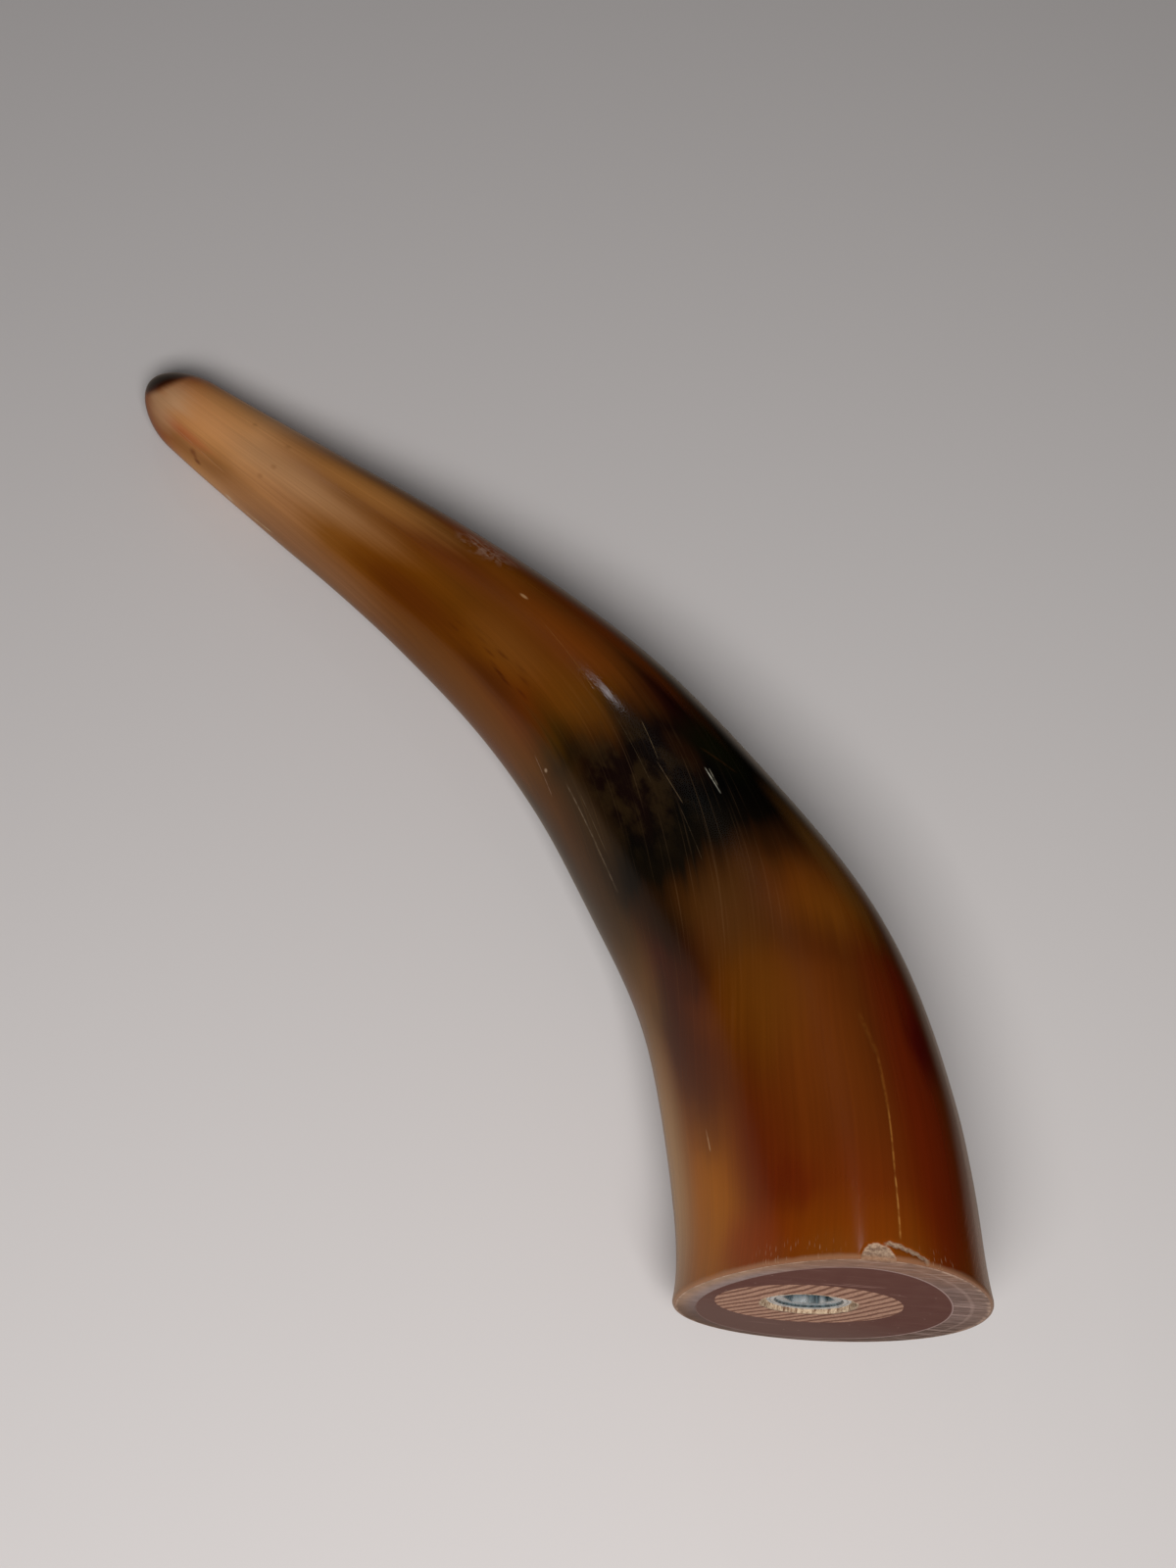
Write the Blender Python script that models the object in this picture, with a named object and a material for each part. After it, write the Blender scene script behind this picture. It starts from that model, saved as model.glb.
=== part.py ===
"""Polished buffalo horn lying on its side, with a bolt insert in its cut end.

Metres, +Z up. Everything is modelled in the horn's own frame, whose origin is
the middle of the bolt insert on the cut face: +X to the outside of the bend,
+Y into the horn, +Z up the cut face. An empty then lays the horn down the way
it rests by itself: base rim, middle and tip on the plane z = 0, with the cut
face towards -Y and the origin under the middle of the horn's box.
"""
import math

import bmesh
import bpy
import numpy as np
from mathutils import Euler, Matrix, Vector

# Horn, along its centreline from the cut face to the tip
LENGTH = 0.2543
BEND_RADIUS = 0.164          # at the cut; the bend eases off towards the tip
STRAIGHT_AT = 0.825          # part of the length where the bend has run out
EASING = 3.0
FIRST_LEAN = 0.040           # radians, of the centreline at the cut
SQUARED_TO_CUT = 0.030       # the sections face along the bend from here on
KNEE = 0.0009                # small sideways waver of the centreline
KNEE_AT = 0.0825
KNEE_SPREAD = 0.0194

# Half width (across the bend) and half height at every quarter of the length
HALF_WIDTHS = (0.0268, 0.0258, 0.01925, 0.0130, 0.0070)
HALF_HEIGHTS = (0.0388, 0.0306, 0.0215, 0.0137, 0.0078)
FLARE = 0.0025               # the horn spreads a little at the cut, sideways
RISE = 0.0012                # and less so in height
FLARE_FADE = 0.008
FULLNESS = 0.19              # how much wider the underside is than the top
TIP_ROUNDING = 0.0125
RIM_RADIUS = 0.0008          # sanded edge of the cut

# Middle of the cut face's outline, from the middle of the insert
FACE_OFFSET_X = 0.0049
FACE_OFFSET_Z = 0.0026

# Hollow of the horn, which the resin fills
HOLLOW_DEPTH = 0.100
HOLLOW_HALF_WIDTH = 0.0234
HOLLOW_HALF_HEIGHT = 0.0346
HOLLOW_SHIFT_X = -0.0013     # the wall is thicker on the outside of the bend
HOLLOW_SHIFT_Z = -0.0022     # and thicker on top than underneath
HOLLOW_TAPER = 0.35

# Wood plug and threaded insert, turned about the insert's axis
PLUG_RADIUS = 0.0175
PLUG_LENGTH = 0.030
COUNTERBORE_RADIUS = 0.00875
COUNTERBORE_DEPTH = 0.0026
PLUG_BORE_RADIUS = 0.0063
PLUG_BORE_DEPTH = 0.0235

INSERT_RECESS = 0.0006       # flange top below the cut face
FLANGE_RADIUS = 0.0080
FLANGE_THICKNESS = 0.0016
DISH_RADIUS = 0.0064         # shallow dish inside the flange's lip
DISH_DEPTH = 0.0005
INSERT_RADIUS = 0.0060
INSERT_LENGTH = 0.0200
THREAD_RADIUS = 0.0034       # core of the M8 thread
HEX_ACROSS_FLATS = 0.0080
HEX_DEPTH = 0.0055
INSERT_CHAMFER = 0.0006

# How it lies: nose down and rolled until three places touch
NOSE_DOWN = math.radians(7.58)
ROLL = math.radians(-1.79)

GAP = 0.0003                 # between touching pieces
HORN_SIDES = 40
BODY_RINGS = 30
HOLLOW_RINGS = 10
TURNED_SIDES = 36

# name: base colour, roughness, metallic
FINISHES = {
    "polished_horn": ((0.32, 0.15, 0.06, 1.0), 0.22, 0.0),
    "dark_resin": ((0.13, 0.05, 0.04, 1.0), 0.55, 0.0),
    "pale_wood": ((0.50, 0.29, 0.20, 1.0), 0.70, 0.0),
    "zinc_plate": ((0.62, 0.66, 0.70, 1.0), 0.28, 1.0),
}


def clear_scene():
    for item in list(bpy.data.objects):
        bpy.data.objects.remove(item, do_unlink=True)


def make_material(name):
    colour, roughness, metallic = FINISHES[name]
    material = bpy.data.materials.new(name)
    material.use_nodes = True
    shader = material.node_tree.nodes["Principled BSDF"]
    shader.inputs["Base Color"].default_value = colour
    shader.inputs["Roughness"].default_value = roughness
    shader.inputs["Metallic"].default_value = metallic
    return material


def add_piece(name, shape, material_name, parent):
    """Turn a bmesh into a named object under the resting frame."""
    bmesh.ops.recalc_face_normals(shape, faces=shape.faces)
    mesh = bpy.data.meshes.new(name)
    shape.to_mesh(mesh)
    shape.free()
    mesh.materials.append(make_material(material_name))
    mesh.shade_smooth()
    mesh.set_sharp_from_angle(angle=math.radians(35))
    piece = bpy.data.objects.new(name, mesh)
    bpy.context.scene.collection.objects.link(piece)
    piece.parent = parent
    return piece


# ---------------------------------------------------------------- the horn

def through_quarters(values, along):
    """Smooth curve through values given at every quarter of the length."""
    quarters = np.linspace(0.0, 1.0, len(values))
    curve = np.polyfit(quarters, values, len(values) - 1)
    return float(np.polyval(curve, along))


def centreline(distance, steps=400):
    """Point of the centreline and its heading, at a distance from the cut."""
    step = distance / steps
    x, y = FACE_OFFSET_X, 0.0
    heading = FIRST_LEAN
    for index in range(steps):
        along = (index + 0.5) * step / LENGTH
        bend = (1.0 - (along / STRAIGHT_AT) ** EASING) / BEND_RADIUS
        middle = heading + 0.5 * bend * step
        x -= math.sin(middle) * step
        y += math.cos(middle) * step
        heading += bend * step
    waver = (KNEE_AT - distance) / KNEE_SPREAD
    shift = KNEE * waver * math.exp(0.5 - 0.5 * waver * waver)
    x += shift * math.cos(heading)
    y += shift * math.sin(heading)
    return x, y, heading


def outer_size(distance):
    """Half width and half height of the horn, at a distance from the cut."""
    along = distance / LENGTH
    fading = math.exp(-distance / FLARE_FADE)
    width = through_quarters(HALF_WIDTHS, along) + FLARE * fading
    height = through_quarters(HALF_HEIGHTS, along) + RISE * fading
    into_tip = max(0.0, (distance - LENGTH + TIP_ROUNDING) / TIP_ROUNDING)
    rounding = math.sqrt(max(0.0, 1.0 - into_tip ** 2))
    into_rim = max(0.0, 1.0 - distance / RIM_RADIUS)
    sanded = RIM_RADIUS * (1.0 - math.sqrt(1.0 - into_rim ** 2))
    return width * rounding - sanded, height * rounding - sanded


def section_ring(distance, half_width, half_height, shift_x=0.0, shift_z=0.0):
    """Egg-shaped section across the centreline, wider below than above.

    At the cut the sections are parallel to it, and they turn with the bend.
    """
    x, y, heading = centreline(distance)
    facing = heading * min(1.0, distance / SQUARED_TO_CUT)
    along = distance / LENGTH
    fullness = FULLNESS * (1.0 - along)
    middle_z = FACE_OFFSET_Z * (1.0 - along) + shift_z
    points = []
    for index in range(HORN_SIDES):
        turn = 2.0 * math.pi * index / HORN_SIDES
        side = half_width * (1.0 - fullness * math.sin(turn)) * math.cos(turn) + shift_x
        points.append(Vector((x + side * math.cos(facing),
                              y + side * math.sin(facing),
                              middle_z + half_height * math.sin(turn))))
    return points


def walk_skin(rings, start_pole, end_pole):
    """Closed skin that walks from ring to ring, from one pole to the other.

    With no poles the walk comes back to its first ring, as a turned ring does.
    """
    sides = len(rings[0])
    shape = bmesh.new()
    corners = bmesh.ops.create_circle(shape, segments=sides, radius=1.0)["verts"]
    edges = shape.edges[:]
    close_with_pole(shape, corners, rings[0], start_pole)
    walk = rings[1:] if start_pole else rings[1:] + rings[:1]
    for ring in walk:
        grown = bmesh.ops.extrude_edge_only(shape, edges=edges)["geom"]
        edges = [item for item in grown if isinstance(item, bmesh.types.BMEdge)]
        fresh = {item for item in grown if isinstance(item, bmesh.types.BMVert)}
        edges = [edge for edge in edges if set(edge.verts) <= fresh]
        corners = [next(edge.other_vert(corner) for edge in corner.link_edges
                        if edge.other_vert(corner) in fresh) for corner in corners]
        for corner, place in zip(corners, ring):
            corner.co = place
    close_with_pole(shape, corners, walk[-1], end_pole)
    bmesh.ops.remove_doubles(shape, verts=shape.verts, dist=1e-7)
    return shape


def close_with_pole(shape, corners, ring, pole):
    """Set a ring's corners and, where there is a pole, close it with a fan."""
    for corner, place in zip(corners, ring):
        corner.co = place
    if pole is None:
        return
    centre = shape.verts.new(pole)
    for index, corner in enumerate(corners):
        shape.faces.new((corner, corners[(index + 1) % len(corners)], centre))


def body_stations():
    """Distances of the horn's rings: close at the rim, the flare and the tip."""
    rim = [RIM_RADIUS * (1.0 - math.cos(math.radians(a))) for a in (0, 45, 90)]
    flare = [0.4 * FLARE_FADE, FLARE_FADE]
    start, end = 1.8 * FLARE_FADE, LENGTH - TIP_ROUNDING
    body = [start + (end - start) * k / BODY_RINGS for k in range(BODY_RINGS + 1)]
    cap = [end + TIP_ROUNDING * math.sin(math.radians(a)) for a in (20, 38, 54, 67, 79)]
    return rim + flare + body + cap


def hollow_size(distance, gap):
    """Half width and half height of the hollow: a cone with a round nose."""
    into = distance / HOLLOW_DEPTH
    scale = (1.0 - HOLLOW_TAPER * into) * math.sqrt(max(0.0, 1.0 - into ** 2))
    return HOLLOW_HALF_WIDTH * scale - gap, HOLLOW_HALF_HEIGHT * scale - gap


def hollow_rings(gap):
    """Wall of the hollow, or of the resin in it when a gap is given.

    Gives the rings from the mouth inwards, and the pole at the far end.
    """
    rings = []
    for k in range(HOLLOW_RINGS):
        distance = HOLLOW_DEPTH * math.sin(0.5 * math.pi * k / HOLLOW_RINGS)
        width, height = hollow_size(distance, gap)
        rings.append(section_ring(distance, width, height, HOLLOW_SHIFT_X, HOLLOW_SHIFT_Z))
    x, y, heading = centreline(HOLLOW_DEPTH - 2.0 * gap)
    pole = Vector((x + HOLLOW_SHIFT_X * math.cos(heading),
                   y + HOLLOW_SHIFT_X * math.sin(heading),
                   FACE_OFFSET_Z * (1.0 - HOLLOW_DEPTH / LENGTH) + HOLLOW_SHIFT_Z))
    return rings, pole


def build_horn(parent):
    """One skin: up the hollow's wall, across the cut, and out to the tip."""
    outside = [section_ring(distance, *outer_size(distance)) for distance in body_stations()]
    inside, deep_end = hollow_rings(0.0)
    x, y, heading = centreline(LENGTH)
    skin = walk_skin(inside[::-1] + outside, deep_end, Vector((x, y, 0.0)))
    return add_piece("horn", skin, "polished_horn", parent)


def build_resin(parent):
    """Resin in the hollow, with a round pocket for the wood plug."""
    pocket_radius = PLUG_RADIUS + GAP
    pocket_depth = PLUG_LENGTH + GAP
    pocket = [turned_ring(pocket_radius, pocket_depth, HORN_SIDES),
              turned_ring(pocket_radius, 0.0, HORN_SIDES)]
    outside, deep_end = hollow_rings(GAP)
    skin = walk_skin(pocket + outside, Vector((0.0, pocket_depth, 0.0)), deep_end)
    return add_piece("resin_fill", skin, "dark_resin", parent)


# ------------------------------------------------------- the turned pieces

def turned_ring(radius, depth, sides=TURNED_SIDES):
    """Circle about the insert's axis, at a depth below the cut."""
    turns = [2.0 * math.pi * index / sides for index in range(sides)]
    return [Vector((radius * math.cos(a), depth, radius * math.sin(a))) for a in turns]


def build_plug(parent):
    """Round wood plug with a stepped blind bore for the insert."""
    outline = [
        (PLUG_BORE_RADIUS, PLUG_BORE_DEPTH),
        (PLUG_BORE_RADIUS, COUNTERBORE_DEPTH),
        (COUNTERBORE_RADIUS, COUNTERBORE_DEPTH),
        (COUNTERBORE_RADIUS, 0.0),
        (PLUG_RADIUS, 0.0),
        (PLUG_RADIUS, PLUG_LENGTH),
    ]
    rings = [turned_ring(radius, depth) for radius, depth in outline]
    skin = walk_skin(rings, Vector((0.0, PLUG_BORE_DEPTH, 0.0)), Vector((0.0, PLUG_LENGTH, 0.0)))
    return add_piece("wood_plug", skin, "pale_wood", parent)


def build_insert(parent):
    """Flanged M8 insert: a turned body with a hexagon socket cut in its mouth."""
    top = INSERT_RECESS
    dish = top + DISH_DEPTH
    under = top + FLANGE_THICKNESS
    end = top + INSERT_LENGTH
    outline = [
        (THREAD_RADIUS, dish),
        (DISH_RADIUS - DISH_DEPTH, dish),
        (DISH_RADIUS, top),
        (FLANGE_RADIUS, top),
        (FLANGE_RADIUS, under),
        (INSERT_RADIUS, under),
        (INSERT_RADIUS, end - INSERT_CHAMFER),
        (INSERT_RADIUS - INSERT_CHAMFER, end),
        (THREAD_RADIUS, end),
    ]
    skin = walk_skin([turned_ring(radius, depth) for radius, depth in outline], None, None)
    insert = add_piece("threaded_insert", skin, "zinc_plate", parent)

    # The socket's cutter reaches out of the mouth as far as it is deep.
    bit = bmesh.new()
    corner_radius = HEX_ACROSS_FLATS / math.sqrt(3.0)
    upright = Matrix.Translation((0.0, top, 0.0)) @ Matrix.Rotation(math.pi / 2.0, 4, "X")
    bmesh.ops.create_cone(bit, cap_ends=True, segments=6, radius1=corner_radius,
                          radius2=corner_radius, depth=2.0 * HEX_DEPTH, matrix=upright)
    cutter = add_piece("hexagon_cutter", bit, "zinc_plate", parent)
    cutter.hide_render = True
    cutter.display_type = "WIRE"
    cut = insert.modifiers.new("hexagon_socket", "BOOLEAN")
    cut.operation = "DIFFERENCE"
    cut.object = cutter
    return insert


# ------------------------------------------------------------ how it lies

def lay_down(rest, horn):
    """Set the horn on z = 0 with the origin under the middle of its box."""
    rest.rotation_euler = Euler((-NOSE_DOWN, ROLL, 0.0), "YXZ")
    bpy.context.view_layer.update()
    corners = [horn.matrix_world @ vertex.co for vertex in horn.data.vertices]
    low = Vector(min(corner[axis] for corner in corners) for axis in range(3))
    high = Vector(max(corner[axis] for corner in corners) for axis in range(3))
    middle = 0.5 * (low + high)
    rest.location -= Vector((middle.x, middle.y, low.z))


def main():
    clear_scene()
    rest = bpy.data.objects.new("rest", None)
    bpy.context.scene.collection.objects.link(rest)
    horn = build_horn(rest)
    build_resin(rest)
    build_plug(rest)
    build_insert(rest)
    lay_down(rest, horn)


main()
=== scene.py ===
import math

import bmesh
import bpy
import numpy as np
from mathutils import Euler, Matrix, Vector, noise


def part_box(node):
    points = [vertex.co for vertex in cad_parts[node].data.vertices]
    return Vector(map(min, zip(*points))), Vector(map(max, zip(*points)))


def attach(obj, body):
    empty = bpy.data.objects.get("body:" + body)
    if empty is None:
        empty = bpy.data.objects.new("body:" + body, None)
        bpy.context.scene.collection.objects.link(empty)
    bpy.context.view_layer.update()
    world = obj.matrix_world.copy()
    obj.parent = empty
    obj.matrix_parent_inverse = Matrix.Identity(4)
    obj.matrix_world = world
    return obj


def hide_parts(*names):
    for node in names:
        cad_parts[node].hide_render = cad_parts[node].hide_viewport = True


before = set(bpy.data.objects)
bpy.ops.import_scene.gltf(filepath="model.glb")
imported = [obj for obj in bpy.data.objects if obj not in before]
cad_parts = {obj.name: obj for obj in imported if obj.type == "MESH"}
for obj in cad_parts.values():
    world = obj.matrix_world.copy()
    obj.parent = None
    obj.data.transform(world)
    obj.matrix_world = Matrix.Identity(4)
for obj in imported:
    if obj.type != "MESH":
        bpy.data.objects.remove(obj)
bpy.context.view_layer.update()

# ------------------------------------------------------------ the horn's shape
# Metres, in the horn's own frame: +X to the outside of the bend, +Y into the horn, +Z up the cut.
LENGTH = 0.2543
BEND_RADIUS = 0.164
STRAIGHT_AT = 0.825
EASING = 3.0
FIRST_LEAN = 0.040
SQUARED_TO_CUT = 0.030
KNEE = 0.0009
KNEE_AT = 0.0825
KNEE_SPREAD = 0.0194
# half sizes at every quarter of the length
HALF_WIDTHS = (0.0268, 0.0258, 0.01925, 0.0130, 0.0070)
HALF_HEIGHTS = (0.0388, 0.0306, 0.0215, 0.0137, 0.0078)
FLARE = 0.0025
RISE = 0.0012
FLARE_FADE = 0.008
# how egg-shaped the section is, as a share of its width
FULLNESS = 0.19
# hand-polished waviness, in millimetres
UNEVENNESS = 0.10
TIP_ROUNDING = 0.0125
RIM_RADIUS = 0.0008
FACE_OFFSET_X = 0.0049
FACE_OFFSET_Z = 0.0026
HOLLOW_DEPTH = 0.100
HOLLOW_HALF_WIDTH = 0.0234
HOLLOW_HALF_HEIGHT = 0.0346
HOLLOW_SHIFT_X = -0.0013
HOLLOW_SHIFT_Z = -0.0022
HOLLOW_TAPER = 0.35

PLUG_RADIUS = 0.0175
PLUG_LENGTH = 0.030
COUNTERBORE_RADIUS = 0.00875
COUNTERBORE_DEPTH = 0.0026
PLUG_BORE_RADIUS = 0.0063
PLUG_BORE_DEPTH = 0.0235
TORN_MOUTH_RADIUS = 0.00895
INSERT_RECESS = 0.0006
FLANGE_RADIUS = 0.0080
FLANGE_THICKNESS = 0.0016
DISH_RADIUS = 0.0064
DISH_DEPTH = 0.0005
INSERT_RADIUS = 0.0060
INSERT_LENGTH = 0.0200
THREAD_RADIUS = 0.0034
HEX_ACROSS_FLATS = 0.0080
HEX_DEPTH = 0.0055
SOCKET_MOUTH = 0.0085
MACHINE_PITCH = 0.00125
COARSE_PITCH = 0.0032
# angle in degrees, spread and strength of each bright painted glint at the socket's mouth
PAINTED_GLINTS = ((262.0, 22.0, 1.0), (316.0, 11.0, 0.9))

NOSE_DOWN = math.radians(7.58)
ROLL = math.radians(-1.79)
CLOSE_FIT = 0.00003

MM = 0.001
SHARP_EDGE = math.radians(35.0)


def lay_of_the_horn():
    """Turn and seat of the horn's own frame, found from where the plug's box lies."""
    turn = Euler((-NOSE_DOWN, ROLL, 0.0), "YXZ").to_matrix()
    low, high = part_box("wood_plug")
    seat = 0.5 * (low + high) - turn @ Vector((0.0, 0.5 * PLUG_LENGTH, 0.0))
    return Matrix.Translation(seat) @ turn.to_4x4()


LAY = lay_of_the_horn()


def through_quarters(values, along):
    """Smooth curve through values given at every quarter of the length."""
    quarters = np.linspace(0.0, 1.0, len(values))
    return float(np.polyval(np.polyfit(quarters, values, len(values) - 1), along))


def centreline(distance, steps=400):
    """Point of the centreline and its heading, at a distance from the cut."""
    step = distance / steps
    x, y = FACE_OFFSET_X, 0.0
    heading = FIRST_LEAN
    for index in range(steps):
        along = (index + 0.5) * step / LENGTH
        bend = (1.0 - (along / STRAIGHT_AT) ** EASING) / BEND_RADIUS
        middle = heading + 0.5 * bend * step
        x -= math.sin(middle) * step
        y += math.cos(middle) * step
        heading += bend * step
    waver = (KNEE_AT - distance) / KNEE_SPREAD
    shift = KNEE * waver * math.exp(0.5 - 0.5 * waver * waver)
    return x + shift * math.cos(heading), y + shift * math.sin(heading), heading


def outer_size(distance):
    """Half width and half height of the horn, at a distance from the cut."""
    along = distance / LENGTH
    fading = math.exp(-distance / FLARE_FADE)
    width = through_quarters(HALF_WIDTHS, along) + FLARE * fading
    height = through_quarters(HALF_HEIGHTS, along) + RISE * fading
    into_tip = max(0.0, (distance - LENGTH + TIP_ROUNDING) / TIP_ROUNDING)
    rounding = math.sqrt(max(0.0, 1.0 - into_tip ** 2))
    into_rim = max(0.0, 1.0 - distance / RIM_RADIUS)
    sanded = RIM_RADIUS * (1.0 - math.sqrt(1.0 - into_rim ** 2))
    return width * rounding - sanded, height * rounding - sanded


def hollow_size(distance, gap):
    """Half width and half height of the hollow: a cone with a round nose."""
    into = distance / HOLLOW_DEPTH
    scale = (1.0 - HOLLOW_TAPER * into) * math.sqrt(max(0.0, 1.0 - into ** 2))
    return HOLLOW_HALF_WIDTH * scale - gap, HOLLOW_HALF_HEIGHT * scale - gap


def section(distance, half_width, half_height, turns, shift_x=0.0, shift_z=0.0):
    """Points of the egg-shaped section at a distance from the cut, and its middle."""
    x, y, heading = centreline(distance)
    facing = heading * min(1.0, distance / SQUARED_TO_CUT)
    along = distance / LENGTH
    fullness = FULLNESS * (1.0 - along)
    middle_z = FACE_OFFSET_Z * (1.0 - along) + shift_z
    side = half_width * (1.0 - fullness * np.sin(turns)) * np.cos(turns) + shift_x
    points = np.stack([x + side * math.cos(facing),
                       y + side * math.sin(facing),
                       middle_z + half_height * np.sin(turns)], axis=1)
    middle = np.array([x + shift_x * math.cos(facing), y + shift_x * math.sin(facing), middle_z])
    return points, middle


# ------------------------------------------------------------ modelling tools

def even_turns(sides):
    return np.linspace(0.0, 2.0 * math.pi, sides + 1)


def closer_turns(sides, start, end, closeness):
    """Turns round a section, closer together between two angles given in degrees."""
    fine = np.linspace(0.0, 360.0, 3601)
    weight = np.where((fine > start) & (fine < end), closeness, 1.0)
    sums = np.concatenate([[0.0], np.cumsum(0.5 * (weight[1:] + weight[:-1]))])
    places = np.interp(np.linspace(0.0, sums[-1], sides + 1), sums, fine)
    return np.radians(places)


def rolled_skin(rows, layers):
    """Closed skin rolled up from a flat grid: one row of the grid for each ring of points.

    layers holds named values for every corner, three numbers or one.
    """
    count, across = rows.shape[0], rows.shape[1]
    shape = bmesh.new()
    bmesh.ops.create_grid(shape, x_segments=count - 1, y_segments=across - 1, size=0.5)
    kept = {}
    for name, values in layers.items():
        wide = values.ndim == 3
        kind = shape.verts.layers.float_vector if wide else shape.verts.layers.float
        kept[name] = (kind.new(name), values, wide)
    for corner in shape.verts:
        row = int(round((corner.co.x + 0.5) * (count - 1)))
        place = int(round((corner.co.y + 0.5) * (across - 1)))
        for layer, values, wide in kept.values():
            corner[layer] = Vector(values[row, place]) if wide else float(values[row, place])
        corner.co = Vector(rows[row, place])
    bmesh.ops.remove_doubles(shape, verts=shape.verts, dist=1e-7)
    bmesh.ops.recalc_face_normals(shape, faces=shape.faces)
    return shape


def placed(name, shape, materials):
    """New object in the scene, made from a finished bmesh."""
    mesh = bpy.data.meshes.new(name)
    shape.to_mesh(mesh)
    shape.free()
    for material in materials:
        mesh.materials.append(material)
    made = bpy.data.objects.new(name, mesh)
    bpy.context.scene.collection.objects.link(made)
    return made


def finish_piece(name, shape, materials, node):
    """Lay a finished bmesh down where the horn lies, as the piece that stands for a node."""
    bmesh.ops.transform(shape, matrix=LAY, verts=shape.verts)
    piece = placed(name, shape, materials)
    piece.data.shade_smooth()
    piece.data.set_sharp_from_angle(angle=SHARP_EDGE)
    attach(piece, "root")
    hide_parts(node)


def turned(profile, turns):
    """Rows of points turned about the insert's axis from (radius, depth) pairs."""
    rows = [np.stack([radius * np.cos(turns), np.full_like(turns, depth), radius * np.sin(turns)], 1)
            for radius, depth in profile]
    return np.array(rows)


def rough(x, y, z, scale, octaves=3):
    """Value of a smooth random field, about -1 to 1."""
    return noise.fractal(Vector((x, y, z)) * scale, 0.9, 2.1, octaves)


def smooth_step(low, high, value):
    t = min(1.0, max(0.0, (value - low) / (high - low)))
    return t * t * (3.0 - 2.0 * t)


# ------------------------------------------------------------ shader tools

class Bench:
    """Puts nodes into one tree and links them. A value is a number, a colour or a socket."""

    def __init__(self, tree):
        self.tree = tree

    def add(self, kind, inputs=None, **settings):
        made = self.tree.nodes.new(kind)
        for key, value in settings.items():
            setattr(made, key, value)
        for socket, value in (inputs or {}).items():
            self.feed(made.inputs[socket], value)
        return made

    def feed(self, socket, value):
        if isinstance(value, bpy.types.NodeSocket):
            self.tree.links.new(value, socket)
        else:
            socket.default_value = value

    def math(self, operation, *values):
        made = self.add("ShaderNodeMath", operation=operation)
        for socket, value in zip(made.inputs, values):
            self.feed(socket, value)
        return made.outputs[0]

    def times(self, first, second):
        return self.math("MULTIPLY", first, second)

    def less(self, first, second):
        return self.math("SUBTRACT", first, second)

    def times_plus(self, first, second, third):
        return self.math("MULTIPLY_ADD", first, second, third)

    def ease(self, value, low, high, to_low=0.0, to_high=1.0):
        """Smooth step of a value from low to high."""
        made = self.add("ShaderNodeMapRange", interpolation_type="SMOOTHSTEP")
        for name, given in (("Value", value), ("From Min", low), ("From Max", high),
                            ("To Min", to_low), ("To Max", to_high)):
            self.feed(made.inputs[name], given)
        return made.outputs["Result"]

    def blend(self, factor, first, second, mode="MIX"):
        """Blend of two colours."""
        made = self.add("ShaderNodeMix", data_type="RGBA", blend_type=mode)
        for index, given in ((0, factor), (6, first), (7, second)):
            self.feed(made.inputs[index], given)
        return made.outputs[2]

    def cover(self, colour, mask, strength, over):
        """One colour laid over another where the mask is, as strong as said."""
        return self.blend(self.times(mask, strength), colour, over)

    def shade(self, colour, tone):
        """Colour made lighter or darker by a number near one."""
        grey = self.add("ShaderNodeCombineColor", {"Red": tone, "Green": tone, "Blue": tone})
        return self.blend(1.0, colour, grey.outputs[0], "MULTIPLY")

    def split(self, vector):
        return self.add("ShaderNodeSeparateXYZ", {"Vector": vector}).outputs

    def arrow(self, x, y, z):
        return self.add("ShaderNodeCombineXYZ", {"X": x, "Y": y, "Z": z}).outputs[0]

    def attribute(self, name, output="Fac"):
        return self.add("ShaderNodeAttribute", attribute_name=name).outputs[output]

    def stretch(self, vector, scale, move=(0.0, 0.0, 0.0)):
        made = self.add("ShaderNodeVectorMath", operation="MULTIPLY_ADD")
        for socket, given in zip(made.inputs, (vector, scale, move)):
            self.feed(socket, given)
        return made.outputs[0]

    def clouds(self, vector, scale, detail=3.0, roughness=0.55):
        made = self.add("ShaderNodeTexNoise", {"Vector": vector, "Scale": scale, "Detail": detail,
                                               "Roughness": roughness})
        return made.outputs["Fac"]

    def relief(self, shader, height):
        """Relief on a surface, from a height in millimetres."""
        bump = self.add("ShaderNodeBump", {"Strength": 1.0, "Distance": MM, "Height": height})
        self.feed(shader.inputs["Normal"], bump.outputs[0])

    def group(self, tree, inputs, label=""):
        made = self.add("ShaderNodeGroup", node_tree=tree, label=label)
        for name, value in inputs.items():
            self.feed(made.inputs[name], value)
        return made.outputs


def new_group(name, outputs, numbers, arrow=None):
    """Empty node group with named numbers in and out, and one vector in if named.

    Gives its bench, its inputs and its outputs.
    """
    tree = bpy.data.node_groups.new(name, "ShaderNodeTree")
    if arrow:
        tree.interface.new_socket(name=arrow, in_out="INPUT", socket_type="NodeSocketVector")
    for socket, value in numbers.items():
        made = tree.interface.new_socket(name=socket, in_out="INPUT", socket_type="NodeSocketFloat")
        made.default_value = value
    for socket in outputs:
        tree.interface.new_socket(name=socket, in_out="OUTPUT", socket_type="NodeSocketFloat")
    bench = Bench(tree)
    return bench, bench.add("NodeGroupInput").outputs, bench.add("NodeGroupOutput").inputs


# fibres are wound on a round rod of this radius before the horn's own shape stretches them
FIBRE_RADIUS = 0.028


def group_unroll():
    """Distance from the cut in millimetres, and angle round the horn in degrees."""
    bench, given, out = new_group("unroll", ("Along", "Around"), {}, "Straight")
    x, y, z = bench.split(given["Straight"])
    bench.feed(out["Along"], bench.times(z, 1000.0))
    bench.feed(out["Around"], bench.math("DEGREES", bench.math("ARCTAN2", y, x)))
    return bench.tree


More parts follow.
